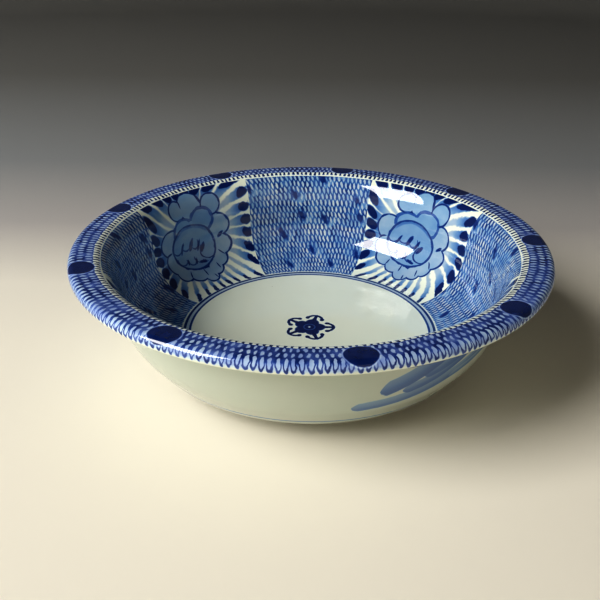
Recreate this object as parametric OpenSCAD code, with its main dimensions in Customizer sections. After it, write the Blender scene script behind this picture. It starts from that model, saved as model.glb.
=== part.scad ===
// Blue and white porcelain serving bowl.
// Origin: centre of the foot's resting plane. +Z up, millimetres.
//
// The bowl is thrown as one clay body, painted in cobalt and dipped in glaze.
// The clay body is split where a potter would name its zones, the cobalt lies
// on the clay in recesses of the glaze, and the glaze covers both. Every zone
// takes its outline from the same two meridian curves, so neighbours meet
// face to face.

/* [Rim] */
// Outer diameter over the rolled lip
rim_d = 290; // [270:1:300]
// Height from the table to the top of the rim
bowl_h = 78.8; // [74:0.2:84]
// Thickness of the rolled lip
lip_d = 7.8; // [6:0.1:9]
// Width of the painted flat rim, lip included
rim_w = 16.5; // [14:0.5:19]

/* [Wall] */
// Diameter of the body where it meets the rim
belly_d = 247; // [240:0.2:250]
// Thickness of the wall half way up
wall_t = 5; // [4:0.1:7]

/* [Well] */
// Diameter of the flat inside floor
floor_d = 165; // [150:1:170]
// Height of the inside floor above the table
floor_z = 15.4; // [14.5:0.1:18]
// Rise of the floor from its centre to its edge
floor_dish = 0.6; // [0.2:0.1:1.2]

/* [Foot] */
// Outer diameter of the foot ring
foot_d = 155; // [146:1:157]
// Width of the foot ring at the table
foot_w = 5; // [4:0.2:6]
// Depth of the recess inside the foot ring
recess_h = 8.6; // [6:0.2:9]
// Height of the unglazed edge that was wiped clean
bare_h = 1.4; // [0.8:0.1:2]

/* [Glaze and cobalt] */
// Thickness of the glaze
glaze_t = 0.4; // [0.3:0.05:0.5]
// Thickness of the cobalt painting
cobalt_t = 0.12; // [0.08:0.02:0.2]
// Number of cobalt ovals around the rim
oval_count = 9; // [6:1:12]
// Length of an oval along the rim
oval_l = 16.6; // [12:0.2:20]
// Width of an oval across the rim
oval_w = 12.4; // [9:0.2:13]
// Direction of the first oval
oval_start = 200; // [0:5:355]
// Number of peony panels, with a net panel between each pair
peony_count = 4; // [3:1:6]
// Direction of the middle of the first peony panel
peony_start = 46; // [0:1:90]
// Width of each line at the edge of the floor
line_w = 1.2; // [0.8:0.1:1.6]
// Gap between the two lines at the edge of the floor
line_gap = 2.4; // [1.4:0.1:3]
// Width of the ring painted low on the outside
ring_w = 0.7; // [0.4:0.1:1]
// Overall diameter of the flower mark on the floor
mark_d = 34; // [24:1:40]

/* [Hidden] */

$fn = 180;
CURVE_STEPS = 12;       // segments in each curved stretch of a meridian
LIP_STEPS = 16;         // segments round the rolled lip

rim_r = rim_d / 2;
belly_r = belly_d / 2;
floor_r = floor_d / 2;
foot_r = foot_d / 2;
lip_r = lip_d / 2;
lip_centre = [rim_r - lip_r, bowl_h - lip_r];
crest = [rim_r - rim_w, bowl_h - 0.8];              // inner edge of the painted rim
flange_under_z = lip_centre[1] - lip_r;
neck = [belly_r, flange_under_z - 4];               // under the flange, where the wall starts
haunch_point = [belly_r * 0.9, floor_z + 10.2];     // where the wall turns in towards the foot
foot_top = [foot_r + 1.2, recess_h - 2.2];          // where the body meets the foot
wall_mid = [belly_r - 3.2 - wall_t, floor_z + 31];  // inside of the wall, half way up
line_inset = 0.6;                                   // from the floor's edge to its outer line
flat_r = mark_d / 2 + 4;                            // level middle of the floor
base_z = recess_h;
inside_foot = foot_r - foot_w - 1.2;                // inner radius of the foot ring, at the bare edge
recess_r = inside_foot - 1.8;                       // corner of the recess, before its fillet
foot_chamfer = 0.7;                                 // bevel on each side of the bare edge

// Points along a cubic curve; the last one belongs to the next stretch.
function cubic(a, b, c, d, t) =
    pow(1 - t, 3) * a + 3 * t * pow(1 - t, 2) * b + 3 * t * t * (1 - t) * c + pow(t, 3) * d;
function curve(a, b, c, d, steps = CURVE_STEPS) =
    [for (k = [0 : steps - 1]) cubic(a, b, c, d, k / steps)];
function arc(centre, radius, from, to, steps) =
    [for (k = [0 : steps - 1])
        let (a = from + (to - from) * k / steps)
        centre + radius * [cos(a), sin(a)]];

// Upper meridian: floor, wall, rim, lip, outside wall and the outside of the foot.
floor_edge = [floor_r, floor_z + floor_dish];
floor_path = concat(
    [[0, floor_z]],
    curve([flat_r, floor_z], [floor_r * 0.45, floor_z], [floor_r * 0.75, floor_z + floor_dish * 0.6],
          floor_edge, 8)
);
cove_path = curve(floor_edge, floor_edge + [17, 0.9], wall_mid - [0.8, 16], wall_mid);
wall_path = curve(wall_mid, wall_mid + [0.8, 18], crest - [7.5, 2.6], crest, 16);
rim_path = curve(crest, crest + [2.5, 0.8], [lip_centre[0] - 4, bowl_h], lip_centre + [0, lip_r], 8);
lip_path = arc(lip_centre, lip_r, 90, -90, LIP_STEPS);
flange_path = curve([lip_centre[0], flange_under_z], [belly_r + 9, flange_under_z], [belly_r + 0.7, flange_under_z],
                    neck, 10);
belly_path = curve(neck, neck - [1.7, 11.3], haunch_point + [10, 13], haunch_point);
haunch_path = curve(haunch_point, haunch_point - [13.2, 17.2], foot_top + [25, 5.7], foot_top);
foot_side_path = concat(
    curve(foot_top, foot_top - [1.2, 0.3], [foot_r - 0.2, foot_top[1] - 1.0], [foot_r - 0.4, foot_top[1] - 2.2], 4),
    [[foot_r - 0.8, bare_h]]
);
upper_parts = [floor_path, cove_path, wall_path, rim_path, lip_path, flange_path, belly_path,
               haunch_path, foot_side_path];
upper = [for (part = upper_parts) each part];

// Lower meridian: inside of the foot and the recessed base, out to in.
lower = concat(
    [[inside_foot, bare_h]],
    curve([inside_foot - 0.3, base_z - 3.6], [inside_foot - 0.5, base_z - 1.2], [recess_r, base_z],
          [recess_r - 3, base_z], 6),
    [[recess_r - 3, base_z], [0, base_z]]
);

// Index of the first point of each stretch of the upper meridian.
function starts(parts, k) = k == 0 ? 0 : starts(parts, k - 1) + len(parts[k - 1]);
COVE = starts(upper_parts, 1);
RIM = starts(upper_parts, 3);
LIP = starts(upper_parts, 4);
BELLY = starts(upper_parts, 6);
HAUNCH = starts(upper_parts, 7);
FOOT = starts(upper_parts, 8);
UPPER_END = len(upper) - 1;
LOWER_END = len(lower) - 1;
SHOULDER = RIM - 9;             // inside, across the wall from the neck
COVE_SPLIT = COVE + 7;          // inside, where the haunch ends and the side wall starts
HAUNCH_SPLIT = HAUNCH;          // outside, across the wall from that point
RING = HAUNCH + 3;              // outside, where the thin painted ring lies
FOOT_SPLIT = FOOT - 2;          // outside, level with the recessed base
RECESS_EDGE = LOWER_END - 1;    // inside the foot ring, where the level base starts

// A meridian moved into the clay by the given depth. Its first and last points
// stay on the axis or at their own height, so that the skins end square.
function inward(path, k) =
    let (before = path[max(k - 1, 0)], after = path[min(k + 1, len(path) - 1)], run = after - before)
    [run[1], -run[0]] / norm(run);
function sunk(path, depth) =
    [for (k = [0 : len(path) - 1])
        let (n = inward(path, k))
        path[k][0] == 0 ? path[k] + [0, n[1] > 0 ? depth : -depth]
        : path[k][1] == bare_h ? path[k] + [n[0] > 0 ? depth : -depth, 0]
        : path[k] + depth * n];

clay_upper = sunk(upper, glaze_t);
clay_lower = sunk(lower, glaze_t);
paint_upper = sunk(upper, glaze_t - cobalt_t);

// The outline between two meridians, from point i to point j.
function band(outer, inner, i, j) =
    concat([for (k = [i : j]) outer[k]], [for (k = [j : -1 : i]) inner[k]]);
// The point on a meridian at a given radius, between points i and i + 1.
function at_radius(path, i, r) =
    let (t = (r - path[i][0]) / (path[i + 1][0] - path[i][0]))
    path[i] + t * (path[i + 1] - path[i]);

module turned(outline) {
    rotate_extrude() polygon(outline);
}

// ---- clay body ----

module well_floor() {
    color("#e9e4d6") turned(concat(
        [for (k = [0 : COVE]) clay_upper[k]],
        [clay_upper[FOOT_SPLIT], clay_lower[RECESS_EDGE], clay_lower[LOWER_END]]
    ));
}

module haunch() {
    color("#e6e0d0") turned(concat(
        [for (k = [COVE : COVE_SPLIT]) clay_upper[k]],
        [for (k = [HAUNCH_SPLIT : FOOT_SPLIT]) clay_upper[k]]
    ));
}

module side_wall() {
    color("#e6e0d0") turned(concat(
        [for (k = [COVE_SPLIT : SHOULDER]) clay_upper[k]],
        [for (k = [BELLY : HAUNCH_SPLIT]) clay_upper[k]]
    ));
}

module rim_flange() {
    color("#e9e4d6") turned([for (k = [SHOULDER : BELLY]) clay_upper[k]]);
}

module foot_ring() {
    color("#d9cdb4") turned(concat(
        [for (k = [FOOT_SPLIT : UPPER_END]) clay_upper[k]],
        [clay_upper[UPPER_END] - [foot_chamfer, bare_h], clay_lower[0] + [foot_chamfer, -bare_h]],
        [for (k = [0 : RECESS_EDGE]) clay_lower[k]]
    ));
}

// ---- cobalt painting ----

// A painted line between two radii, on the straight stretch after point i.
module painted_line(i, r1, r2) {
    turned([
        at_radius(paint_upper, i, r1), at_radius(paint_upper, i, r2),
        at_radius(clay_upper, i, r2), at_radius(clay_upper, i, r1)
    ]);
}
module floor_double_line() {
    color("#20408a") for (k = [0, 1]) {
        line_r = floor_r - line_inset - k * (line_w + line_gap);
        painted_line(COVE - 1, line_r - line_w, line_r);
    }
}

petal_r = mark_d * 0.11;
module flower_outline() {
    difference() {
        for (k = [0 : 4]) rotate(72 * k) {
            translate([mark_d * 0.17, 0]) circle(r = petal_r);
            translate([mark_d * 0.25, -mark_d * 0.02]) square([mark_d * 0.22, mark_d * 0.04]);
            translate([mark_d * 0.33, 0]) hook_outline();
        }
        circle(r = mark_d * 0.05);
    }
}
module hook_outline() {
    intersection() {
        difference() {
            circle(r = mark_d * 0.16);
            circle(r = mark_d * 0.12);
        }
        translate([mark_d * 0.03, -mark_d * 0.2]) square([mark_d * 0.2, mark_d * 0.4]);
    }
}
module floor_flower_mark() {
    color("#13245c")
        translate([0, 0, floor_z - glaze_t])
            linear_extrude(cobalt_t) flower_outline();
}

panel_angle = 180 / peony_count;
PANEL_FIRST = COVE + 1;
PANEL_LAST = RIM - 2;
module wall_panel(middle) {
    rotate([0, 0, middle - panel_angle / 2])
        rotate_extrude(angle = panel_angle)
            polygon(band(paint_upper, clay_upper, PANEL_FIRST, PANEL_LAST));
}
module peony_panels() {
    color("#7d9cc6") for (k = [0 : peony_count - 1])
        wall_panel(peony_start + 2 * panel_angle * k);
}
module net_panels() {
    color("#3c62a6") for (k = [0 : peony_count - 1])
        wall_panel(peony_start + panel_angle * (2 * k + 1));
}

BAND_FIRST = RIM + 1;
BAND_LAST = LIP + 4;
module rim_paint() {
    turned(band(paint_upper, clay_upper, BAND_FIRST, BAND_LAST));
}
module oval_prisms() {
    straight = oval_l - oval_w;
    for (k = [0 : oval_count - 1])
        rotate([0, 0, oval_start + 360 / oval_count * k])
            translate([rim_r - rim_w / 2 - 1, 0, flange_under_z])
                linear_extrude(lip_d * 2) {
                    square([oval_w, straight], center = true);
                    for (side = [-1, 1])
                        translate([0, side * straight / 2]) circle(d = oval_w);
                }
}
module rim_ovals() {
    color("#13245c") intersection() {
        rim_paint();
        oval_prisms();
    }
}
module rim_net_band() {
    color("#4a66b0") difference() {
        rim_paint();
        oval_prisms();
    }
}

module outer_line() {
    line_r = upper[RING][0] - 0.4;
    color("#6f7f95") painted_line(RING, line_r, line_r - ring_w);
}

// ---- glaze ----

module glaze_band(first, last, painted_first, painted_last) {
    turned(concat(
        [for (k = [first : last]) upper[k]],
        [for (k = [last : -1 : painted_last]) clay_upper[k]],
        [for (k = [painted_last : -1 : painted_first]) paint_upper[k]],
        [for (k = [painted_first : -1 : first]) clay_upper[k]]
    ));
}

module floor_glaze() {
    color("#dfe3d6") difference() {
        turned(band(upper, clay_upper, 0, COVE));
        floor_flower_mark();
        floor_double_line();
    }
}

module inner_wall_glaze() {
    color("#c3d2e6") glaze_band(COVE, RIM, PANEL_FIRST, PANEL_LAST);
}

module rim_glaze() {
    color("#b9c6de") glaze_band(RIM, BELLY, BAND_FIRST, BAND_LAST);
}

module outer_wall_glaze() {
    color("#d9dbcb") difference() {
        turned(band(upper, clay_upper, BELLY, FOOT));
        outer_line();
    }
}

module foot_glaze() {
    color("#d9dbcb") turned(band(upper, clay_upper, FOOT, UPPER_END));
}

module base_glaze() {
    color("#dcdccd") turned(band(lower, clay_lower, 0, LOWER_END));
}

well_floor();
haunch();
side_wall();
rim_flange();
foot_ring();
floor_glaze();
inner_wall_glaze();
rim_glaze();
outer_wall_glaze();
foot_glaze();
base_glaze();
floor_flower_mark();
floor_double_line();
net_panels();
peony_panels();
rim_net_band();
rim_ovals();
outer_line();
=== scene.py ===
"""The looks of the porcelain serving bowl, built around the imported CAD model.

The glaze pieces follow the same meridian as the CAD bodies, much finer, and
the cobalt painting is drawn on them by shader nodes in millimetres.
"""
from math import cos, pi, radians, sin

import bpy
import numpy as np
from mathutils import Matrix, Vector


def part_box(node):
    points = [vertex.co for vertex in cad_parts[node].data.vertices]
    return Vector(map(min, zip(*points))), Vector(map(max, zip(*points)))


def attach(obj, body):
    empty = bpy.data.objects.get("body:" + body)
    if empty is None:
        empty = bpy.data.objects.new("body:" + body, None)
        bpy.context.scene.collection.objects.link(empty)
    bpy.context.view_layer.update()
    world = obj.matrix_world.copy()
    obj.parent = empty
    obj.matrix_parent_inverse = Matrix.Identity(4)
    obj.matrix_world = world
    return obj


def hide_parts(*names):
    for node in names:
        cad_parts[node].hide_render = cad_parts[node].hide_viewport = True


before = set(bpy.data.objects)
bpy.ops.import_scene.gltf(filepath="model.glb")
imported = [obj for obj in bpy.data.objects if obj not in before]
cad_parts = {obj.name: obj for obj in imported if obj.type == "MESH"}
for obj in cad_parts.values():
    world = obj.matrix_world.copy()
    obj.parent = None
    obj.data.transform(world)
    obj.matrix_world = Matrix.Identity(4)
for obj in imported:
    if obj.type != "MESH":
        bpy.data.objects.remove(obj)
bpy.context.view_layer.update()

MM = 0.001                      # metres in a millimetre
FULL_TURN = 360.0               # degrees

# ---------------------------------------------------------------- sizes, mm


def high(node, axis):
    """A CAD node's highest coordinate along an axis, in millimetres."""
    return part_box(node)[1][axis] / MM


def low(node, axis):
    """A CAD node's lowest coordinate along an axis, in millimetres."""
    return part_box(node)[0][axis] / MM


def widest_height(node):
    """The height at which a CAD node is widest, in millimetres."""
    points = np.array([v.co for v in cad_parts[node].data.vertices]) / MM
    radius = np.hypot(points[:, 0], points[:, 1])
    return float(points[radius > radius.max() - 0.01, 2].mean())


X, Z = 0, 2
RIM_R = high("rim_glaze", X)
BOWL_H = high("rim_glaze", Z)
LIP_R = BOWL_H - widest_height("rim_glaze")
GLAZE = RIM_R - high("rim_flange", X)
NECK_R = high("outer_wall_glaze", X)
NECK_Z = high("outer_wall_glaze", Z)
FLOOR_R = high("floor_glaze", X)
FLOOR_EDGE_Z = high("floor_glaze", Z)
FLOOR_Z = low("floor_flower_mark", Z) + GLAZE
FOOT_TOP_R = high("foot_glaze", X)
FOOT_TOP_Z = high("foot_glaze", Z)
BARE_H = low("foot_glaze", Z)
BASE_Z = high("base_glaze", Z) - GLAZE
FOOT_SPREAD = 1.2               # how much wider the foot is at its top
FOOT_R = FOOT_TOP_R - FOOT_SPREAD
INSIDE_FOOT_R = high("base_glaze", X) - GLAZE
RIM_W = 16.5                    # from the lip inwards to the crest over the inner wall
CREST_DROP = 0.8                # how far the crest lies under the top of the lip
CREST = (RIM_R - RIM_W, BOWL_H - CREST_DROP)
SHOULDER_POINTS = 5             # of the inner wall, which belong to the rim's piece
RING_POINT = 7                  # of the haunch, with the painted ring, 2 mm above the CAD's

# Repeats of the painting: how many there are, and where the first lies, in degrees.
OVALS = 9
OVAL_START = 200.0
PEONIES = 4
PEONY_START = 46.0
SPRAYS = 3
SPRAY_START = 281.0
PANEL_ANGLE = FULL_TURN / PEONIES / 2
WALL_R = 116.0                  # radius at which the wall's painting is laid out
RIM_MID_R = 137.0               # radius at which the rim's painting is laid out

# ------------------------------------------------------------- the meridian


def curve(a, b, c, d, count):
    """Points along a cubic curve from a to d with handles b and c, without its last one."""
    a, b, c, d = (np.array(p, float) for p in (a, b, c, d))
    t = np.linspace(0, 1, count, endpoint=False)[:, None]
    return a * (1 - t) ** 3 + b * 3 * t * (1 - t) ** 2 + c * 3 * t * t * (1 - t) + d * t ** 3


def arc(centre, radius, start, end, count):
    """Points along an arc between two angles in degrees, without its last one."""
    a = np.radians(np.linspace(start, end, count, endpoint=False))[:, None]
    return np.array(centre) + radius * np.hstack([np.cos(a), np.sin(a)])


def off(point, out, up):
    """A point moved outwards and upwards."""
    return point[0] + out, point[1] + up


def meridian():
    """The bowl's outline from the middle of the floor to the middle of the base, by stretch.

    Every point is a distance from the upright axis and a height, in millimetres.
    """
    floor_edge = (FLOOR_R, FLOOR_EDGE_Z)
    wall_mid = (NECK_R - 8.2, FLOOR_Z + 31)
    lip = (RIM_R - LIP_R, BOWL_H - LIP_R)
    under = BOWL_H - 2 * LIP_R
    neck = (NECK_R, NECK_Z)
    haunch = (NECK_R * 0.9, FLOOR_Z + 10.2)
    foot_top = (FOOT_TOP_R, FOOT_TOP_Z)
    foot_low = (FOOT_R - 0.4, FOOT_TOP_Z - 2.2)
    recess_top = (INSIDE_FOOT_R - 4.8, BASE_Z)
    recess_low = (INSIDE_FOOT_R - 0.3, BASE_Z - 3.6)
    wall = curve(wall_mid, off(wall_mid, 0.8, 18), off(CREST, -7.5, -2.6), CREST, 44)
    edge_out = (FOOT_R - 2, 0)
    edge_in = (INSIDE_FOOT_R + 1.3, 0)
    bare_top = (FOOT_R - 0.8, BARE_H)
    return {
        "floor": curve((0, FLOOR_Z), (FLOOR_R * 0.45, FLOOR_Z),
                       (FLOOR_R * 0.75, FLOOR_EDGE_Z - 0.24), floor_edge, 48),
        "cove": curve(floor_edge, off(floor_edge, 17, 0.9), off(wall_mid, -0.8, -16), wall_mid, 40),
        "wall": wall[:-SHOULDER_POINTS],
        "shoulder": wall[-SHOULDER_POINTS:],
        "rim": curve(CREST, off(CREST, 2.5, 0.8), (lip[0] - 4, BOWL_H), (lip[0], BOWL_H), 20),
        "lip": arc(lip, LIP_R, 90, -90, 28),
        "flange": curve((lip[0], under), (NECK_R + 9, under), (NECK_R + 0.7, under), neck, 28),
        "belly": curve(neck, off(neck, -1.7, -11.3), off(haunch, 10, 13), haunch, 36),
        "haunch": curve(haunch, off(haunch, -13.2, -17.2), off(foot_top, 25, 5.7), foot_top,
                        RING_POINT * 5),
        "foot": np.vstack([
            curve(foot_top, off(foot_top, -1.2, -0.3), off(foot_low, 0.2, 1.2), foot_low, 8),
            np.linspace(foot_low, bare_top, 6, endpoint=False),
        ]),
        "edge": np.vstack([
            curve(bare_top, (FOOT_R - 1.0, BARE_H * 0.4), (FOOT_R - 1.3, 0), edge_out, 10),
            curve(edge_out, (FOOT_R - 3, 0), (INSIDE_FOOT_R + 2.2, 0), edge_in, 8),
            curve(edge_in, (INSIDE_FOOT_R + 0.6, 0), (INSIDE_FOOT_R + 0.2, BARE_H * 0.4),
                  (INSIDE_FOOT_R, BARE_H), 10),
        ]),
        "recess": np.vstack([
            np.linspace((INSIDE_FOOT_R, BARE_H), recess_low, 6, endpoint=False),
            curve(recess_low, off(recess_low, -0.2, 2.4), off(recess_top, 3, 0), recess_top, 14),
            np.linspace(recess_top, (0, BASE_Z), 25),
        ]),
    }


def first_rows(stretches):
    """The meridian's row at which each stretch starts."""
    rows = {}
    count = 0
    for name, points in stretches.items():
        rows[name] = count
        count += len(points)
    return rows


STRETCHES = meridian()
PATH = np.vstack(list(STRETCHES.values()))
FIRST = first_rows(STRETCHES)
STEP = np.hypot(*np.diff(PATH, axis=0).T)
ALONG = np.concatenate([[0], np.cumsum(STEP)])
ALONG -= ALONG[FIRST["cove"]]   # distance along the meridian from the edge of the floor
CREST_ALONG = ALONG[FIRST["rim"]]
RING_ALONG = ALONG[FIRST["haunch"] + RING_POINT]

# Unevenness of the thrown clay: height in millimetres, waves round the bowl, phase in radians.
PUSH_WAVES = [(0.10, 2, 0.7), (0.05, 3, 2.1)]
LIFT_WAVES = [(0.09, 2, 1.9), (0.04, 5, 0.4)]
RING_H = 0.006                  # height of the fine throwing rings
RING_RATE = 0.9                 # radians of their wave per millimetre along the meridian
RING_SWAY = 1.3                 # radians by which they wander round the bowl
CALM_R = 60.0                   # inside this radius the unevenness fades out
RING_CALM_R = 30.0
AXIS_R = 0.01                   # points nearer to the axis than this are on it


def waves(kinds, a):
    """The sum of some waves at angles in radians."""
    return sum(height * np.sin(times * a + phase) for height, times, phase in kinds)


def surface(rows, angles):
    """Positions in metres of points on the bowl, slightly uneven as thrown by hand."""
    r = PATH[rows, 0][:, None]
    z = PATH[rows, 1][:, None]
    a = np.radians(angles)[None, :]
    up = z / BOWL_H
    push = up * waves(PUSH_WAVES, a)
    lift = up ** 2 * waves(LIFT_WAVES, a)
    rings = RING_H * np.sin(ALONG[rows][:, None] * RING_RATE + RING_SWAY * np.sin(a))
    rings = rings * np.clip(r / RING_CALM_R, 0, 1)
    r = r + (push + rings) * np.clip(r / CALM_R, 0, 1)
    z = z + lift + rings
    return np.stack([r * np.cos(a), r * np.sin(a), z + 0 * a], axis=-1) * MM


# ------------------------------------------------------------------- meshes


def quads(a, b, c, d):
    """Faces from four equal arrays of corners."""
    return np.stack([d, c, b, a], axis=-1).reshape(-1, 4)


def outward(grid, rows):
    """The directions in which the surface faces at a grid of its points."""
    slope = np.cross(np.gradient(grid, axis=0), np.gradient(grid, axis=1))
    length = np.linalg.norm(slope, axis=-1, keepdims=True)
    normal = slope / np.maximum(length, 1e-15)
    normal[PATH[rows, 0] < AXIS_R] = (0, 0, 1 if rows[0] == 0 else -1)
    return normal


def shell_faces(index, seamless):
    """A closed shell's faces from its grid of corner numbers: outside, inside and borders."""
    count = index.size
    around = np.arange(index.shape[1])
    before = around if seamless else around[:-1]
    after = np.roll(around, -1) if seamless else around[1:]
    near = index[:-1]
    far = index[1:]
    outside = quads(near[:, before], near[:, after], far[:, after], far[:, before])
    inside = (outside + count)[:, ::-1]
    borders = [(index[0][after], index[0][before]), (index[-1][before], index[-1][after])]
    if not seamless:
        borders += [(near[:, 0], far[:, 0]), (far[:, -1], near[:, -1])]
    sides = [quads(a, b, b + count, a + count) for a, b in borders]
    corners = np.concatenate([outside, inside, *sides]).tolist()
    faces = [tuple(dict.fromkeys(face)) for face in corners]
    return [face for face in faces if len(face) > 2]


def shell_object(name, grid, normal, faces, values):
    """An object from a shell's outer points, their normals, its faces and its stored numbers."""
    inner = grid - normal * GLAZE * MM
    points = np.concatenate([grid.reshape(-1, 3), inner.reshape(-1, 3)])
    normals = np.concatenate([normal.reshape(-1, 3), -normal.reshape(-1, 3)])
    used = np.unique(np.concatenate([np.array(face) for face in faces]))
    renumber = np.zeros(len(points), int)
    renumber[used] = np.arange(len(used))
    faces = [tuple(renumber[list(face)].tolist()) for face in faces]
    mesh = bpy.data.meshes.new(name)
    mesh.from_pydata(points[used].tolist(), [], faces)
    for key, value in values.items():
        attribute = mesh.attributes.new(key, "FLOAT", "POINT")
        doubled = np.tile(np.broadcast_to(value, grid.shape[:2]).reshape(-1), 2)
        attribute.data.foreach_set("value", doubled[used].astype(np.float32))
    mesh.shade_smooth()
    mesh.normals_split_custom_set_from_vertices(normals[used].tolist())
    piece = bpy.data.objects.new(name, mesh)
    bpy.context.scene.collection.objects.link(piece)
    return piece


def shell(name, first, last, start=0.0, sweep=FULL_TURN, steps=360, middle=0.0, seamless=False):
    """A closed shell of glaze over the stretches from first to last, between two angles.

    Its attributes are angle, in degrees, across, in millimetres to the right of
    the middle as seen from inside the bowl, and along, in millimetres from the floor's edge.
    """
    last_row = len(PATH) - 1
    row0 = FIRST[first]
    row1 = min(FIRST[last] + len(STRETCHES[last]), last_row)
    # One more row and angle on every side, so that normals match at the seams.
    rows = np.arange(max(row0 - 1, 0), min(row1 + 1, last_row) + 1)
    angles = start + sweep / steps * np.arange(-1, steps + 2)
    grid = surface(rows, angles)
    normal = outward(grid, rows)
    keep_rows = slice(row0 - rows[0], row1 - rows[0] + 1)
    keep_angles = slice(1, steps + (1 if seamless else 2))
    grid = grid[keep_rows, keep_angles]
    normal = normal[keep_rows, keep_angles]
    rows = rows[keep_rows]
    angles = angles[keep_angles]

    index = np.arange(len(rows) * len(angles)).reshape(len(rows), len(angles))
    poles = PATH[rows, 0] < AXIS_R
    index[poles] = index[poles][:, :1]
    return shell_object(name, grid, normal, shell_faces(index, seamless), {
        "angle": angles,
        "across": -np.radians(angles - middle) * WALL_R,
        "along": ALONG[rows][:, None],
    })


# ----------------------------------------------------------- painting tools


class Field:
    """A number that varies over a surface. Arithmetic on it adds shader nodes."""

    def __init__(self, paint, socket):
        self.paint = paint
        self.socket = socket

    def __add__(self, other):
        return self.paint.math("ADD", self, other)

    def __sub__(self, other):
        return self.paint.math("SUBTRACT", self, other)

    def __rsub__(self, other):
        return self.paint.math("SUBTRACT", other, self)

    def __mul__(self, other):
        return self.paint.math("MULTIPLY", self, other)

    def __truediv__(self, other):
        return self.paint.math("DIVIDE", self, other)

    def __abs__(self):
        return self.paint.math("ABSOLUTE", self)

    __radd__ = __add__
    __rmul__ = __mul__


CLOUD_SIZE = 38.0               # millimetres across a cloud in the glaze
CLOUD_INK = 0.012               # how much a cloud deepens the cobalt
CLOUD_COLOUR = (0.50, 0.62, 0.56, 1)
CLOUD_SHARE = 0.30
SPECK_SPACING = 17.0            # millimetres between iron specks
SPECK_REACH = (0.011, 0.019)    # a speck's solid and soft radius, in spacings
SPECK_COLOUR = (0.10, 0.075, 0.05, 1)
SPECK_SHARE = 0.75
RIPPLE_DEPTH = 0.25             # millimetres
GLAZE_IOR = 1.5
GLAZE_SHINE = 0.72              # a little glossier than Blender's usual 0.5


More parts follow.
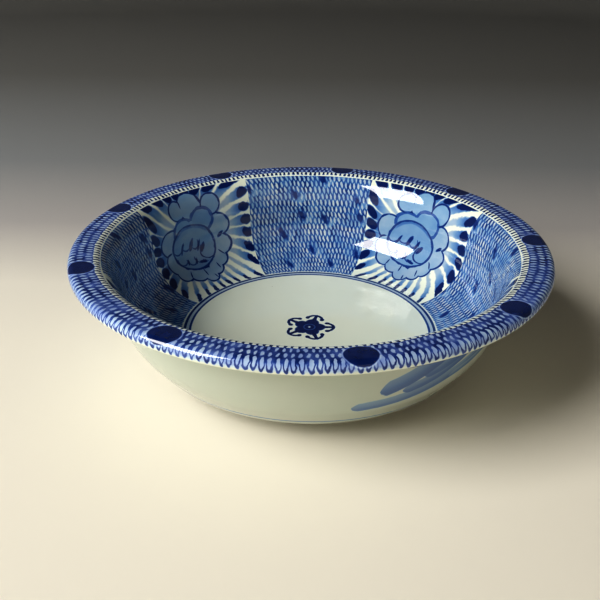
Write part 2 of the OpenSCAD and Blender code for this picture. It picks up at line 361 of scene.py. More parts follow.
class Paint:
    """One material, painted by adding nodes.

    Sockets that Blender gives the same name are chosen by their number.
    """

    def __init__(self, name):
        self.material = bpy.data.materials.new(name)
        self.material.use_nodes = True
        self.tree = self.material.node_tree
        self.tree.nodes.clear()

    def add(self, kind, inputs, **settings):
        """A node with its settings made and its inputs fed."""
        node = self.tree.nodes.new(kind)
        for key, value in settings.items():
            setattr(node, key, value)
        for key, value in inputs.items():
            if isinstance(value, Field):
                self.tree.links.new(value.socket, node.inputs[key])
            else:
                node.inputs[key].default_value = value
        return node

    def math(self, operation, *values):
        """Arithmetic on numbers."""
        node = self.add("ShaderNodeMath", dict(enumerate(values)), operation=operation)
        return Field(self, node.outputs[0])

    def vector(self, operation, *values):
        """Arithmetic on points."""
        node = self.add("ShaderNodeVectorMath", dict(enumerate(values)), operation=operation)
        return Field(self, node.outputs[0])

    def stored(self, name):
        """A number stored on the mesh."""
        node = self.add("ShaderNodeAttribute", {}, attribute_name=name)
        return Field(self, node.outputs["Fac"])

    def place(self):
        """The position on the object, in millimetres."""
        node = self.add("ShaderNodeTexCoord", {})
        metres = Field(self, node.outputs["Object"])
        scaled = self.add("ShaderNodeVectorMath", {0: metres, "Scale": 1 / MM}, operation="SCALE")
        return Field(self, scaled.outputs[0])

    def flat(self, x, y):
        """A point from two numbers."""
        node = self.add("ShaderNodeCombineXYZ", {0: x, 1: y})
        return Field(self, node.outputs[0])

    def parts(self, point):
        """The three numbers of a point."""
        node = self.add("ShaderNodeSeparateXYZ", {0: point})
        return [Field(self, output) for output in node.outputs]

    def ramp(self, value, start, end, low=0.0, high=1.0):
        """A smooth change from low at start to high at end."""
        node = self.add("ShaderNodeMapRange", {0: value, 1: start, 2: end, 3: low, 4: high},
                        interpolation_type="SMOOTHSTEP")
        return Field(self, node.outputs[0])

    def mix(self, a, b, share):
        """Number a where share is 0, b where it is 1."""
        node = self.add("ShaderNodeMix", {0: share, 2: a, 3: b}, data_type="FLOAT")
        return Field(self, node.outputs[0])

    def blend(self, a, b, share, kind="MIX"):
        """Colour a where share is 0, b laid over it where it is 1."""
        node = self.add("ShaderNodeMix", {0: share, 6: a, 7: b}, data_type="RGBA", blend_type=kind)
        return Field(self, node.outputs[2])

    def colours(self, amount, stops):
        """The colour that a ramp of (position, (red, green, blue)) stops gives to an amount."""
        node = self.add("ShaderNodeValToRGB", {0: amount})
        ramp = node.color_ramp
        while len(ramp.elements) > 1:
            ramp.elements.remove(ramp.elements[-1])
        for number, (position, colour) in enumerate(stops):
            element = ramp.elements[0] if number == 0 else ramp.elements.new(position)
            element.position = position
            element.color = (*colour, 1)
        return Field(self, node.outputs[0])

    def lowest(self, a, b):
        """The lower of two numbers, which joins shapes given by their distance."""
        return self.math("MINIMUM", a, b)

    def highest(self, a, b):
        """The higher of two numbers, which lays one stroke over another."""
        return self.math("MAXIMUM", a, b)

    def noise(self, point, size, detail=2.0, w=None):
        """Noise from -1 to 1 whose lumps are about size millimetres. w chooses another pattern."""
        inputs = {"Vector": point, "Scale": 1 / size, "Detail": detail}
        settings = {}
        if w is not None:
            inputs["W"] = w
            settings["noise_dimensions"] = "4D"
        node = self.add("ShaderNodeTexNoise", inputs, **settings)
        return Field(self, node.outputs["Fac"]) * 2.0 - 1.0

    def reach(self, point, centre, radii, tilt=0.0):
        """How far a point is from an ellipse's centre, 1 on its edge."""
        node = self.add("ShaderNodeMapping", {
            "Vector": point,
            "Location": (*centre, 0),
            "Rotation": (0, 0, radians(tilt)),
            "Scale": (*radii, 1),
        }, vector_type="TEXTURE")
        spot = Field(self, node.outputs[0])
        length = self.add("ShaderNodeVectorMath", {0: spot}, operation="LENGTH")
        return Field(self, length.outputs["Value"])

    def bumps(self, height, strength, depth):
        """The directions of a surface roughened by a height, depth in millimetres."""
        inputs = {"Height": height, "Strength": strength, "Distance": depth * MM}
        return Field(self, self.add("ShaderNodeBump", inputs).outputs[0])

    def finish(self, inputs):
        """Ends the material with one surface shader."""
        shader = self.add("ShaderNodeBsdfPrincipled", inputs)
        self.add("ShaderNodeOutputMaterial", {0: Field(self, shader.outputs[0])})
        return self.material

    def glaze(self, amount, stops, roughness=0.035, ripple=0.10):
        """Finishes the material: cobalt of the given amount under a clear glossy glaze."""
        place = self.place()
        cloud = self.noise(place, CLOUD_SIZE, 3.0)
        ink = self.colours(amount + cloud * CLOUD_INK, stops)
        tone = self.ramp(cloud, -0.5, 0.6, 0.0, CLOUD_SHARE)
        body = self.blend(ink, CLOUD_COLOUR, tone, "SOFT_LIGHT")
        cells = self.add("ShaderNodeTexVoronoi", {
            "Vector": place,
            "Scale": 1 / SPECK_SPACING,
            "Randomness": 1.0,
        })
        speck = self.ramp(Field(self, cells.outputs["Distance"]), *SPECK_REACH, SPECK_SHARE, 0.0)
        waves = self.noise(place, 16.0, 1.0) + self.noise(place, 3.2, 2.0) * 0.10
        rough = self.ramp(self.noise(place, 9.0, 3.0), -0.8, 0.8, roughness * 0.7, roughness * 1.5)
        return self.finish({
            "Base Color": self.blend(body, SPECK_COLOUR, speck),
            "Roughness": rough,
            "Normal": self.bumps(waves, ripple, RIPPLE_DEPTH),
            "IOR": GLAZE_IOR,
            "Specular IOR Level": GLAZE_SHINE,
        })


# Colours by amount of cobalt: 0 shows the glazed ground, 1 is the thickest brush load.
GROUND = (0.74, 0.785, 0.68)
WALL_COBALT = [
    (0.00, GROUND),
    (0.12, (0.459, 0.523, 0.590)),
    (0.28, (0.205, 0.346, 0.537)),
    (0.45, (0.090, 0.204, 0.450)),
    (0.62, (0.037, 0.100, 0.322)),
    (0.80, (0.012, 0.035, 0.172)),
    (1.00, (0.005, 0.011, 0.067)),
]
RIM_COBALT = [
    (0.00, GROUND),
    (0.14, (0.477, 0.598, 0.728)),
    (0.32, (0.226, 0.313, 0.589)),
    (0.60, (0.044, 0.087, 0.314)),
    (0.80, (0.011, 0.030, 0.150)),
    (1.00, (0.004, 0.013, 0.069)),
]
# The outside's colours: the same glazed ground as inside, but painted darker as painted shade, then
# its cobalt.
OUTER_COBALT_ON_SHADED_GROUND = [
    (0.00, (0.47, 0.505, 0.445)),
    (0.30, (0.26, 0.37, 0.47)),
    (0.60, (0.10, 0.175, 0.36)),
    (1.00, (0.030, 0.050, 0.16)),
]

# ------------------------------------------------------------ the paintings
#
# Lengths are in millimetres, and strengths are amounts of cobalt from 0 to 1.
# hand, shake and drift are noise that moves the lines as a painter's hand would.


def net(paint, column, row, pitch, row_pitch, half_width, half_height):
    """Fishing net: 1 on its lines, 0 inside its eyes, which are staggered ovals.

    column counts eyes sideways; everything else is in millimetres.
    """
    side = abs(paint.math("FRACT", column) - 0.5) * (pitch / half_width)
    rise = paint.math("PINGPONG", row, row_pitch)
    middle = (0, 0)
    unit = (1, 1)
    across = 0.5 * pitch / half_width - side
    even = paint.reach(paint.flat(across, rise / half_height), middle, unit)
    odd = paint.reach(paint.flat(side, (row_pitch - rise) / half_height), middle, unit)
    return paint.ramp(paint.lowest(even, odd), 0.66, 1.30)


NET_COLUMNS = 29                # eyes across one panel
NET_PITCH = radians(PANEL_ANGLE) / NET_COLUMNS * WALL_R
NET_ROW = 4.7


def paint_net_panel():
    """Net with scattered brush marks, for the inner wall."""
    paint = Paint("painted_net")
    place = paint.place()
    along = paint.stored("along")
    across = paint.stored("across")
    drift = paint.noise(place, 12.0, 2.0)
    shake = paint.noise(place, 2.6, 1.0)
    row = along + paint.noise(place, 15.0, 1.0, w=3.0) * 2.4 + shake * 0.75
    column = across / -NET_PITCH + drift * 0.46 + shake * 0.22 - row * 0.07
    ink = net(paint, column, row, NET_PITCH, NET_ROW, 0.80, 2.55)
    strength = paint.ramp(paint.noise(place, 7.0, 3.0, w=8.0), -0.55, 0.55, 0.50, 0.86)
    eye = paint.ramp(drift, -0.6, 0.6, 0.06, 0.30)
    amount = paint.mix(eye, strength, ink)
    amount = smudges(paint, amount, across, along, place)
    top = paint.ramp(along + shake * 0.9, CREST_ALONG - 3.0, CREST_ALONG - 2.0, 1.0, 0.10)
    foot = paint.ramp(along + shake * 0.5, 0.3, 1.3)
    return paint.glaze(amount * top * foot, WALL_COBALT)


SMUDGE_CELL = (27.0, 21.0)      # millimetres between brush marks, sideways and upwards


def smudges(paint, amount, across, along, place):
    """Adds dark brush marks, each with a pale gap beside it."""
    spot = paint.flat(across / SMUDGE_CELL[0], along / SMUDGE_CELL[1])
    cells = paint.add("ShaderNodeTexVoronoi", {"Vector": spot, "Scale": 1.0, "Randomness": 0.9},
                      voronoi_dimensions="2D")
    mark = Field(paint, cells.outputs["Position"])
    point = paint.vector("MULTIPLY", paint.vector("SUBTRACT", spot, mark), (*SMUDGE_CELL, 0))
    rough = paint.noise(place, 3.4, 2.0, w=5.0)
    gap = paint.reach(point, (4.4, -3.6), (4.2, 2.2), 40) + rough * 0.8
    amount = paint.mix(amount, 0.16, paint.ramp(gap, 1.5, 0.5, 0.0, 0.60))
    mark = paint.reach(point, (0, 0), (4.6, 1.9), -58) + rough * 0.9
    return paint.mix(amount, 0.86, paint.ramp(mark, 1.6, 0.5, 0.0, 0.88))


PEONY = (-4.0, 44.0)            # middle of the blossom on its panel, in millimetres
# Petals from back to front, as an ellipse's centre, radii and tilt.
OUTER_PETALS = [
    ((-26.6, 34.6), (8.6, 9.0), 0), ((-24.0, 25.6), (7.6, 6.6), -20),
    ((-26.4, 49.0), (10.2, 9.4), 10), ((-12.4, 21.4), (8.6, 7.0), 0),
    ((16.0, 36.6), (10.8, 8.6), 0), ((17.0, 51.6), (10.2, 9.4), 0),
    ((-2.6, 16.8), (7.4, 6.6), 0), ((6.4, 20.8), (6.8, 5.9), 0), ((13.0, 26.6), (7.6, 6.0), 15),
]
TOP_PETALS = [
    ((14.6, 68.0), (7.6, 8.0), -10), ((-15.0, 69.6), (7.2, 7.4), 12),
    ((-2.6, 70.4), (9.8, 10.2), -6),
]
COLLAR = [
    ((-11.8, 54.6), (10.0, 8.2), 6), ((5.2, 58.0), (10.2, 9.4), -6), ((-4.0, 54.0), (9.0, 7.5), 0),
]
HEART = ((-6.2, 40.4), (20.2, 16.6), -4)
CURL = ((6.0, 35.4), (7.2, 6.4), 10)
# The whole blossom from back to front: petals that share an outline, how much darker
# their wash is, and the strength and half width of the outline.
BLOSSOM = [
    (OUTER_PETALS, 0.00, 0.78, 0.62),
    (TOP_PETALS, 0.05, 0.80, 0.62),
    (COLLAR, 0.08, 0.62, 1.15),
    ([HEART], 0.08, 0.74, 0.80),
]
# Brushed edges of folded petals: an ellipse, the way its drawn part faces, and strength.
ARCS = [
    (((-21.6, 43.6), (4.8, 4.4), 10), (-0.5, -1.0), 0.74),
    (((-12.6, 44.0), (4.6, 4.2), 0), (0.3, -1.0), 0.74),
    (((-4.6, 43.2), (3.6, 4.6), 0), (0.6, -1.0), 0.70),
    (((-19.4, 35.6), (4.8, 5.0), 0), (-0.4, -1.0), 0.66),
    (((-11.4, 33.6), (4.6, 5.4), 0), (-0.2, -1.0), 0.70),
    (((-4.0, 32.2), (3.8, 4.6), 20), (-0.6, -1.0), 0.74),
    (CURL, (-0.8, -0.6), 0.80),
]
# Short heavy touches of the brush, where folds meet.
TOUCHES = [
    ((-16.8, 41.8), (1.1, 4.4), -30), ((-7.6, 42.6), (1.7, 5.0), -32),
    ((-1.0, 40.6), (1.0, 4.4), -30), ((2.2, 38.4), (1.6, 4.0), -36),
    ((-1.2, 28.0), (3.8, 1.2), -14), ((19.6, 43.8), (3.0, 1.2), 42),
    ((-15.4, 31.6), (0.9, 2.6), -20), ((-7.4, 30.4), (1.0, 2.8), -28),
    ((-10.2, 75.0), (0.6, 4.6), 4), ((5.8, 74.6), (0.8, 4.4), 14),
    ((-6.0, 20.4), (0.6, 3.2), 0), ((-19.6, 22.4), (0.6, 2.8), -24),
    ((9.4, 21.6), (0.6, 2.6), 16), ((17.0, 30.6), (0.6, 3.2), 40),
    ((-30.8, 42.0), (3.2, 0.7), 10), ((1.2, 14.2), (0.6, 2.2), 14),
]


def brush_line(paint, off_line, hand, width, line):
    """A brushed line of varying width, off_line millimetres away."""
    return paint.ramp(off_line - hand * width * 0.9, width + 0.50, width - 0.25, 0.0, line)


def depth_inside(paint, point, shape):
    """Roughly how far a point lies outside an ellipse, in millimetres."""
    centre, radii, tilt = shape
    return (paint.reach(point, centre, radii, tilt) - 1.0) * ((radii[0] + radii[1]) / 2)


def petal(paint, amount, inside, hand, wash, line, width=0.60):
    """Lays a washed petal with a brushed outline over the painting."""
    amount = paint.mix(amount, wash, paint.ramp(inside, 0.3, -0.3))
    return paint.highest(amount, brush_line(paint, abs(inside), hand, width, line))


def brush_arc(paint, amount, point, x, y, hand, shape, facing, line):
    """An outline of which only the part that faces one way is drawn."""
    centre = shape[0]
    inside = depth_inside(paint, point, shape)
    part = paint.ramp((x - centre[0]) * facing[0] + (y - centre[1]) * facing[1], -0.6, 1.4)
    return paint.highest(amount, brush_line(paint, abs(inside), hand, 0.50, line) * part)


LEAVES = 29                     # round the whole blossom
LEAF_MIDDLE = 42.0              # height of the fringe's middle on the panel, in millimetres
LEAF_END = (45.4, 42.6)         # from there to the leaf tips, sideways and upwards


def leaf_fringe(paint, point, x, y, hand):
    """Leaves that point outward round the blossom, each with a dark round tip."""
    out = paint.reach(point, PEONY, (1.0, 1.0))
    turn = paint.math("ARCTAN2", y - PEONY[1], x - PEONY[0]) * (LEAVES / 2 / pi)
    edge = paint.highest(abs(x) / LEAF_END[0], abs(y - LEAF_MIDDLE) / LEAF_END[1]) + hand * 0.03
    side = abs(paint.math("FRACT", turn + hand * 0.14 + out * 0.016) - 0.5)
    side = side * out * (2 * pi / LEAVES)
    narrow = paint.ramp(y, 4.0, 26.0, 0.50, 1.0)
    width = paint.ramp(edge, 0.45, 0.84, 1.2, 3.5) * narrow
    blade = paint.ramp(side - width + hand * 0.5, 0.8, -0.8) * paint.ramp(edge, 0.98, 0.90)
    shade = paint.ramp(edge, 0.60, 0.88, 0.20, 0.52)
    tip = paint.reach(paint.flat(side / narrow, edge * 44.0), (0, 40.2), (4.0, 4.7)) + hand * 0.16
    return paint.highest(blade * shade, paint.ramp(tip, 1.12, 0.80, 0.0, 0.92))


def paint_peony_panel():
    """Peony in a fringe of leaves, for the inner wall."""
    paint = Paint("painted_peony")
    place = paint.place()
    across = paint.stored("across")
    along = paint.stored("along")
    hand = paint.noise(place, 4.5, 2.0)
    x = across + paint.noise(place, 26.0, 1.0) * 2.2 + hand * 0.5
    y = along + paint.noise(place, 22.0, 1.0, w=4.0) * 2.0 + hand * 0.4
    point = paint.flat(x, y)
    amount = leaf_fringe(paint, point, x, y, hand)
    wash = paint.ramp(paint.noise(place, 10.0, 3.0, w=2.0), -0.6, 0.6, 0.20, 0.27)
    for petals, darker, line, width in BLOSSOM:
        inside = depth_inside(paint, point, petals[0])
        for shape in petals[1:]:
            inside = paint.lowest(inside, depth_inside(paint, point, shape))
        amount = petal(paint, amount, inside, hand, wash + darker, line, width)
    heart = depth_inside(paint, point, HEART)
    band = paint.ramp(heart, -4.6, -1.6) * paint.ramp(heart, 0.4, -0.2)
    amount = paint.highest(amount, band * paint.ramp(y, 42.0, 52.0, 0.0, 0.50))
    for shape, facing, line in ARCS:
        amount = brush_arc(paint, amount, point, x, y, hand, shape, facing, line)
    for centre, radii, tilt in TOUCHES:
        mark = paint.reach(point, centre, radii, tilt) + hand * 0.4
        amount = paint.highest(amount, paint.ramp(mark, 1.35, 0.7, 0.0, 0.82))
    top = paint.ramp(along + hand, CREST_ALONG - 2.6, CREST_ALONG - 1.0, 1.0, 0.05)
    return paint.glaze(amount * top, WALL_COBALT)


RIM_COLUMNS = 243               # eyes around the rim
RIM_PITCH = radians(FULL_TURN / RIM_COLUMNS) * RIM_MID_R
RIM_ROW = 5.0
LOOP_START = 11.0               # from the crest outwards, in millimetres
LOOP_MIDDLE = 15.0
LOOP_END = 18.4
LOOP_HALF = 0.95
OVAL_MIDDLE = 9.3               # from the crest outwards, in millimetres
OVAL_RADII = (8.3, 7.9)
EDGE_LINE = 21.9                # a dark line under the lip, on one arc of the rim only
EDGE_LINE_START = 288.0         # degrees round the rim
EDGE_LINE_END = 341.0


def rim_loops(paint, ink, side, row, drift):
    """Ends the net in a row of rounded loops at the lip."""
    height = LOOP_END - LOOP_MIDDLE
    loop = paint.reach(paint.flat(side, row), (0, LOOP_MIDDLE), (LOOP_HALF, height))
    rounded = paint.ramp(loop + drift * 0.25, 1.75, 1.40)
    upper = paint.ramp(row, LOOP_MIDDLE + 1.5, LOOP_MIDDLE - 0.5)
    loop = paint.ramp(loop, 0.80, 1.15) * paint.highest(rounded, upper)
    return paint.mix(ink, loop, paint.ramp(row, LOOP_START, LOOP_START + 0.9))


def rim_ovals(paint, amount, place, angle, along, drift):
    """Lays solid ovals over the net, each with a pale edge."""
    across = paint.math("PINGPONG", angle - OVAL_START, FULL_TURN / OVALS / 2)
    across = across * (radians(1) * RIM_MID_R)
    reach = paint.reach(paint.flat(across, along), (0, OVAL_MIDDLE), OVAL_RADII) + drift * 0.06
    amount = paint.mix(amount, 0.08, paint.ramp(reach, 1.18, 1.04, 0.0, 0.6))
    fill = paint.ramp(paint.noise(place, 5.0, 2.0, w=6.0), -0.6, 0.6, 0.86, 0.98)
    return paint.mix(amount, fill, paint.ramp(reach, 1.06, 0.96))


def edge_line(paint, angle, along):
    """The dark line under the lip, between two angles."""
    line = paint.ramp(abs(along - EDGE_LINE), 0.90, 0.45, 0.0, 0.85)
    line = line * paint.ramp(angle, EDGE_LINE_START, EDGE_LINE_START + 2.0)
    return line * paint.ramp(angle, EDGE_LINE_END, EDGE_LINE_END - 4.0)


def paint_rim():
    """Net, loops, ticks along the crest and ovals, for the rim."""
    paint = Paint("painted_rim")
    place = paint.place()
    angle = paint.stored("angle")
    along = paint.stored("along") - CREST_ALONG
    drift = paint.noise(place, 11.0, 2.0)
    shake = paint.noise(place, 2.4, 1.0)
    row = along + paint.noise(place, 14.0, 1.0, w=3.0) * 1.3 + shake * 0.6
    column = angle * (RIM_COLUMNS / FULL_TURN) + drift * 0.44 + shake * 0.20
    ink = net(paint, column + row * 0.03, row - 3.9, RIM_PITCH, RIM_ROW, 0.86, 1.95)
    side = abs(paint.math("FRACT", column) - 0.5) * RIM_PITCH
    ink = rim_loops(paint, ink, side, row, drift)
    strength = paint.ramp(paint.noise(place, 7.0, 3.0, w=8.0), -0.5, 0.5, 0.52, 0.90)
    pale = paint.ramp(drift, -0.6, 0.6, 0.16, 0.34)
    pale = pale * paint.ramp(along, LOOP_END - 1.0, LOOP_END + 2.2, 1.0, 0.0)
    amount = paint.mix(pale, strength, ink)
    tick = paint.ramp(1.75 - side + row * 0.12, 0.95, 0.55)
    tick = tick * paint.ramp(row, -2.4, -1.2, 0.0, 0.97)
    amount = paint.mix(tick, amount, paint.ramp(row, 1.3, 2.1))
    amount = rim_ovals(paint, amount, place, angle, along + shake * 0.4, drift)
    return paint.glaze(paint.highest(amount, edge_line(paint, angle, along)), RIM_COBALT)


LINE_W = 1.6                    # the double line round the floor, in millimetres
LINE_GAP = 1.8
LINE_INSET = 0.4
MARK_R = 16.6                   # radius of the mark at the middle of the floor


def ring_line(paint, off_line, hand, outer_soft, inner_soft, line):
    """A brushed ring, off_line millimetres away, whose edge softens between two limits."""
    half = LINE_W / 2
    return paint.ramp(off_line + hand * 0.10, half + outer_soft, half - inner_soft, 0.0, line)


def paint_floor():
    """Double line and flower mark, for the floor, whose glaze is worn a little matt."""
    paint = Paint("painted_floor")
    place = paint.place()
    x, y, _ = paint.parts(place)
    radius = paint.reach(paint.flat(x, y), (0, 0), (1, 1)) + paint.noise(place, 30.0, 1.0) * 0.3
    hand = paint.noise(place, 1.8, 1.0)
    outer = FLOOR_R - LINE_INSET - LINE_W / 2
    inner = outer - LINE_W - LINE_GAP
    between = paint.ramp(abs(radius - (outer + inner) / 2), LINE_GAP, LINE_GAP / 2, 0.0, 0.15)
    outer_line = ring_line(paint, abs(radius - outer), hand, 0.35, 0.25, 0.90)
    inner_line = ring_line(paint, abs(radius - inner), hand, 0.20, 0.35, 0.80)
    amount = paint.highest(paint.highest(outer_line, inner_line), between)
    amount = paint.highest(amount, floor_mark(paint, x, y, hand))
    return paint.glaze(amount, WALL_COBALT, roughness=0.09, ripple=0.02)


def floor_mark(paint, x, y, hand):
    """Five-petalled mark with an anchor hook at the tip of each petal."""
    turn = paint.math("ARCTAN2", y, x)
    fifth = paint.math("WRAP", turn, pi / 5, -pi / 5)
    out = paint.reach(paint.flat(x, y), (0, 0), (1, 1))
    u = out * paint.math("COSINE", fifth)
    v = abs(out * paint.math("SINE", fifth))
    point = paint.flat(u + hand * 0.2, v + hand * 0.2)
    petal_reach = paint.reach(point, (MARK_R * 0.34, 0), (MARK_R * 0.29, MARK_R * 0.27))
    amount = paint.ramp(petal_reach, 1.10, 0.92, 0.0, 0.93)
    for centre, radii in (
        ((MARK_R * 0.64, 0), (MARK_R * 0.16, MARK_R * 0.085)),
        ((MARK_R * 0.80, 0), (MARK_R * 0.22, MARK_R * 0.070)),
        ((MARK_R * 0.705, MARK_R * 0.30), (MARK_R * 0.100, MARK_R * 0.085)),
    ):
        mark = paint.ramp(paint.reach(point, centre, radii), 1.15, 0.85, 0.0, 0.95)
        amount = paint.highest(amount, mark)
    hook = abs(paint.reach(point, (MARK_R * 0.665, 0), (1, 1)) - MARK_R * 0.29)
    hook = paint.ramp(hook, 1.15, 0.75, 0.0, 0.95) * paint.ramp(u, MARK_R * 0.68, MARK_R * 0.72)
    amount = paint.highest(amount, hook)
    ring = paint.ramp(abs(out - MARK_R * 0.22), 0.55, 0.15, 0.0, 0.55)
    return paint.mix(amount, 0.42, ring)


# Brush strokes of the leaf spray on the outside: start and height in millimetres,
# slope, curvature, length, half width and strength.
STROKES = [
    (-1.0, 32.0, 0.03, 0.0021, 110.0, 3.8, 0.50),
    (58.0, 39.8, 0.16, 0.0030, 60.0, 2.2, 0.46),
    (27.0, 40.6, 0.12, 0.0044, 70.0, 3.4, 0.54),
    (38.0, 48.6, 0.16, 0.0040, 80.0, 4.2, 0.52),
    (13.5, 43.2, 0.27, 0.0040, 60.0, 5.4, 0.56),
]
SPRAY_R = 121.0                 # radius at which the spray is laid out
SPRAY_LEAD = 10.0               # degrees of a spray that lie before its start


def paint_outer_wall():
    """Leaf sprays and a thin ring, for the outside, on a glaze ground painted darker as shade."""
    paint = Paint("painted_outer_wall")
    place = paint.place()
    angle = paint.stored("angle")
    along = paint.stored("along")
    _, _, height = paint.parts(place)
    hand = paint.noise(place, 6.0, 2.0)
    turn = paint.math("WRAP", angle - SPRAY_START + SPRAY_LEAD, FULL_TURN / SPRAYS, 0.0)
    x = turn * (radians(1) * SPRAY_R) - radians(SPRAY_LEAD) * SPRAY_R + hand * 0.9
    amount = paint.ramp(abs(along - RING_ALONG) + hand * 0.10, 0.95, 0.40, 0.0, 0.60)
    for start, z, slope, bend, length, width, strength in STROKES:
        t = x - start
        rise = height - z - t * slope - t * t * bend
        taper = paint.math("SQRT", paint.ramp(t, 0.0, 5.5)) * width
        taper = taper * paint.ramp(t, length, length * 0.6)
        inside = paint.ramp(abs(rise + hand * 0.5) - taper, 0.55, -0.55)
        inside = inside * paint.ramp(taper, 0.2, 0.8)
        shade = paint.ramp(rise, -width, width, strength * 1.25, strength * 0.80)
        amount = paint.mix(amount, shade, inside)
    return paint.glaze(amount, OUTER_COBALT_ON_SHADED_GROUND)


def shaded_plain_glaze():
    """Glaze without cobalt, with the faintest clouds, on the outside's ground, which is painted
    darker as shade.
    """
    paint = Paint("shaded_plain_glaze")
    cloud = paint.noise(paint.place(), 30.0, 2.0)
    return paint.glaze(paint.ramp(cloud, -0.5, 0.8, 0.0, 0.05), OUTER_COBALT_ON_SHADED_GROUND)


GRAIN_SIZE = 0.35               # millimetres
GRAIN_DEPTH = 0.12
GRAIN_COLOUR = (0.30, 0.22, 0.15, 1)


def biscuit(name, colour, warm):
    """Bare fired clay: matt, fine grained and slightly toasted."""
    paint = Paint(name)
    place = paint.place()
    toast = paint.ramp(paint.noise(place, 14.0, 4.0), -0.5, 0.6)
    grain = paint.noise(place, GRAIN_SIZE, 3.0)
    tone = paint.blend((*colour, 1), (*warm, 1), toast)
    return paint.finish({
        "Base Color": paint.blend(tone, GRAIN_COLOUR, paint.ramp(grain, 0.3, 0.8, 0.0, 0.35)),
        "Roughness": paint.ramp(grain, -0.8, 0.8, 0.62, 0.88),
        "Normal": paint.bumps(grain, 0.5, GRAIN_DEPTH),
    })


# --------------------------------------------------------------- the pieces


PANEL_STEPS = 64                # faces across one panel
RIM_STEPS = 60                  # faces across one arc of the rim
ROUND_STEPS = 256               # faces all the way round the floor or the foot
OUTSIDE_STEPS = 384             # faces all the way round the outside
OUTSIDE_START = 90              # degrees, so that the outside's seam is behind the bowl
HIDDEN_CLAY = ["well_floor", "haunch", "side_wall", "rim_flange"]


def finish_piece(piece, material, slot, *nodes):
    """Gives a piece its material, hangs it on the root body and hides the CAD nodes that it
    replaces; slot is not used.
    """
    piece.data.materials.append(material)
    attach(piece, "root")
    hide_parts(*nodes)


def build_panels():
    """The eight panels of the inner wall, peony and net in turn."""
    kinds = [("peony", paint_peony_panel(), 0), ("net", paint_net_panel(), PANEL_ANGLE)]
    for k in range(PEONIES):
        for kind, paint, shift in kinds:
            middle = PEONY_START + 2 * PANEL_ANGLE * k + shift
            panel = shell(f"{kind}_panel_{k + 1}", "cove", "wall", middle - PANEL_ANGLE / 2,
                          PANEL_ANGLE, PANEL_STEPS, middle)
            finish_piece(panel, paint, "painted_glaze", "inner_wall_glaze", f"{kind}_panels")


def build_rim():
    """The rim in as many arcs as it has ovals."""
    paint = paint_rim()
    sweep = FULL_TURN / OVALS
    for k in range(OVALS):
        middle = OVAL_START + sweep * k
        rim = shell(f"rim_arc_{k + 1}", "shoulder", "flange", middle - sweep / 2, sweep,
                    RIM_STEPS, middle)
        finish_piece(rim, paint, "painted_glaze", "rim_glaze", "rim_net_band", "rim_ovals")


def build_round(name, stretch, material, slot, *nodes):
    """A piece that goes all the way round over one stretch of the meridian."""
    piece = shell(name, stretch, stretch, steps=ROUND_STEPS, seamless=True)
    finish_piece(piece, material, slot, *nodes)


def build_bowl():
    """All pieces of the bowl, and the clay that the CAD model gives."""
    build_panels()
    build_rim()
    build_round("floor_of_well", "floor", paint_floor(), "clear_glaze",
                "floor_glaze", "floor_flower_mark", "floor_double_line")
    outer = shell("outer_wall", "belly", "haunch", OUTSIDE_START, steps=OUTSIDE_STEPS)
    finish_piece(outer, paint_outer_wall(), "clear_glaze", "outer_wall_glaze", "outer_line")
    glaze = shaded_plain_glaze()
    build_round("foot_side", "foot", glaze, "clear_glaze", "foot_glaze")
    bare_clay = biscuit("bare_clay", (0.60, 0.50, 0.36), (0.50, 0.34, 0.20))
    build_round("foot_edge", "edge", bare_clay, "bare_foot", "foot_ring")
    build_round("recessed_base", "recess", glaze, "clear_glaze", "base_glaze")
    clay = biscuit("hidden_clay", (0.74, 0.71, 0.62), (0.66, 0.58, 0.46))
    for name in HIDDEN_CLAY:
        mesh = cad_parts[name].data
        mesh.materials.clear()
        mesh.materials.append(clay)


# --------------------------------------------------- floor, light and camera

# Painted shade on the paper: its colour darkens from cream to grey behind the bowl, in place of the
# light's falloff.
PAPER_SHADE_DEPTH = 900.0              # millimetres behind the bowl over which painted shade darkens the paper
PAPER_SHADE_COLOURS = [
    (0.00, (0.77, 0.735, 0.655)),
    (0.10, (0.74, 0.71, 0.64)),
    (0.24, (0.42, 0.405, 0.40)),
    (0.45, (0.26, 0.27, 0.28)),
    (1.00, (0.17, 0.17, 0.165)),
]


def paint_shaded_paper():
    """Paper with painted shade: cream near the bowl, darkening to grey far behind it where the
    light falls off.
    """
    paint = Paint("paper")
    place = paint.place()
    _, behind, _ = paint.parts(place)
    fibre = paint.noise(place, 1.2, 3.0) * 0.012
    # painted shade: the farther behind the bowl, the darker the paper's colour
    painted_falloff = paint.math("MULTIPLY", behind + fibre * 500.0, 1 / PAPER_SHADE_DEPTH)
    return paint.finish({
        "Base Color": paint.colours(painted_falloff, PAPER_SHADE_COLOURS),
        "Roughness": paint.ramp(fibre, -0.01, 0.01, 0.60, 0.75),
        "Specular IOR Level": 0.25,
    })


PAPER_FLAT = 1.8                # radius of its flat part, in metres
PAPER_BEND = 0.7
PAPER_TOP = 2.4
PAPER_SIDES = 96


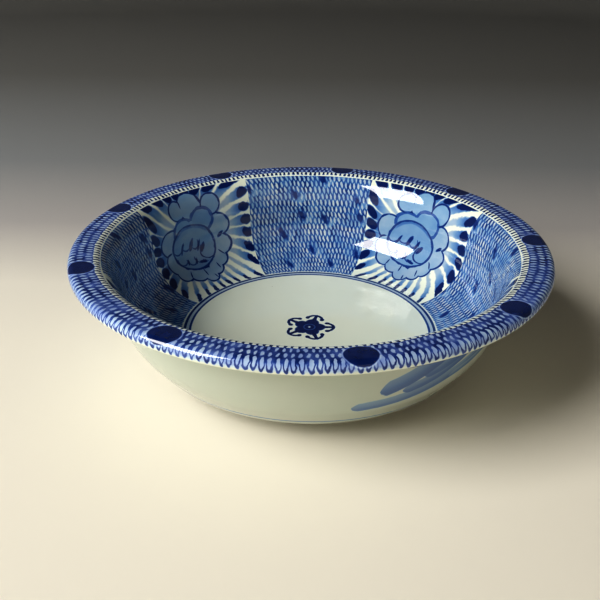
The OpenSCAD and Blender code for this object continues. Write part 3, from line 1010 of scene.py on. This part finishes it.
def build_stage():
    """A round paper sheet that curves up far from the bowl."""
    edge = PAPER_FLAT + PAPER_BEND
    rings = [(r, 0.0) for r in (0.0, 0.4, 0.8, 1.3, PAPER_FLAT)]
    for a in np.linspace(0.1, pi / 2, 14):
        rings.append((PAPER_FLAT + PAPER_BEND * sin(a), PAPER_BEND - PAPER_BEND * cos(a)))
    rings += [(edge, 1.5), (edge, PAPER_TOP)]
    turns = np.linspace(0, 2 * pi, PAPER_SIDES, endpoint=False)
    points = [(r * cos(a), r * sin(a), z) for r, z in rings for a in turns]
    faces = []
    for ring in range(len(rings) - 1):
        near = ring * PAPER_SIDES
        far = near + PAPER_SIDES
        for k in range(PAPER_SIDES):
            after = (k + 1) % PAPER_SIDES
            faces.append((near + k, near + after, far + after, far + k))
    mesh = bpy.data.meshes.new("paper_sweep")
    mesh.from_pydata(points, [], faces)
    mesh.shade_smooth()
    mesh.materials.append(paint_shaded_paper())
    sweep = bpy.data.objects.new("paper_sweep", mesh)
    bpy.context.scene.collection.objects.link(sweep)


def soft_light(name, turn, rise, distance, size, brightness, colour, target=(0, 0, 0.03)):
    """A rectangular lamp seen from the target at the given angles, in degrees and metres."""
    turn = radians(turn)
    rise = radians(rise)
    out = Vector((cos(rise) * cos(turn), cos(rise) * sin(turn), sin(rise)))
    lamp = bpy.data.lights.new(name, "AREA")
    lamp.shape = "RECTANGLE"
    lamp.size = size[0]
    lamp.size_y = size[1]
    lamp.energy = brightness * pi * size[0] * size[1]
    lamp.color = colour
    light = bpy.data.objects.new(name, lamp)
    light.location = Vector(target) + out * distance
    light.rotation_euler = (-out).to_track_quat("-Z", "Y").to_euler()
    light.visible_camera = False
    bpy.context.scene.collection.objects.link(light)


SKY_COLOUR = (0.80, 0.88, 1.0, 1)
SKY_STRENGTH = 0.02


def build_light():
    """One large window, a faint room behind the camera and a trace of sky."""
    soft_light("window", turn=-151, rise=37, distance=2.6, size=(1.38, 1.50), brightness=13.0,
               colour=(1.0, 0.98, 0.94), target=(0.05, 0.09, 0.03))
    soft_light("room", turn=-80, rise=14, distance=1.5, size=(1.1, 0.5), brightness=0.25,
               colour=(1.0, 0.97, 0.92))
    world = bpy.data.worlds.new("room")
    world.use_nodes = True
    background = world.node_tree.nodes["Background"].inputs
    background["Color"].default_value = SKY_COLOUR
    background["Strength"].default_value = SKY_STRENGTH
    bpy.context.scene.world = world


CAMERA_LENS = 45.0              # mm, on a 36 mm sensor
CAMERA_RISE = 23.34             # degrees above the rim, seen from its centre
CAMERA_DISTANCE = 3.209         # from the rim's centre, in rim radii
CAMERA_ROLL = 0.70              # degrees
CAMERA_TURN = 0.80              # degrees aimed to the left of the rim's centre
CAMERA_DROP = 4.32              # degrees aimed below the rim's centre
CAMERA_NEAR = 0.01              # metres
EXPOSURE = -0.40                # stops


def build_camera():
    """A camera at the photograph's angle, rolled, turned and dropped in that order."""
    rise = radians(CAMERA_RISE)
    roll = radians(CAMERA_ROLL)
    turn = radians(CAMERA_TURN)
    drop = radians(CAMERA_DROP)
    right = Vector((1, 0, 0))
    up = Vector((0, sin(rise), cos(rise)))
    ahead = Vector((0, cos(rise), -sin(rise)))
    centre = Vector((0, 0, BOWL_H - LIP_R)) * MM
    place = centre - ahead * CAMERA_DISTANCE * RIM_R * MM
    right, up = right * cos(roll) + up * sin(roll), up * cos(roll) - right * sin(roll)
    right, ahead = right * cos(turn) + ahead * sin(turn), ahead * cos(turn) - right * sin(turn)
    up, ahead = up * cos(drop) + ahead * sin(drop), ahead * cos(drop) - up * sin(drop)
    camera = bpy.data.objects.new("camera", bpy.data.cameras.new("camera"))
    camera.data.lens = CAMERA_LENS
    camera.data.clip_start = CAMERA_NEAR
    camera.matrix_world = Matrix((right, up, -ahead)).transposed().to_4x4()
    camera.location = place
    bpy.context.scene.collection.objects.link(camera)
    bpy.context.scene.camera = camera


view = bpy.context.scene.view_settings
view.view_transform = "Standard"
view.look = "High Contrast"
view.exposure = EXPOSURE
build_camera()
build_stage()
build_light()
build_bowl()

bpy.context.view_layer.update()
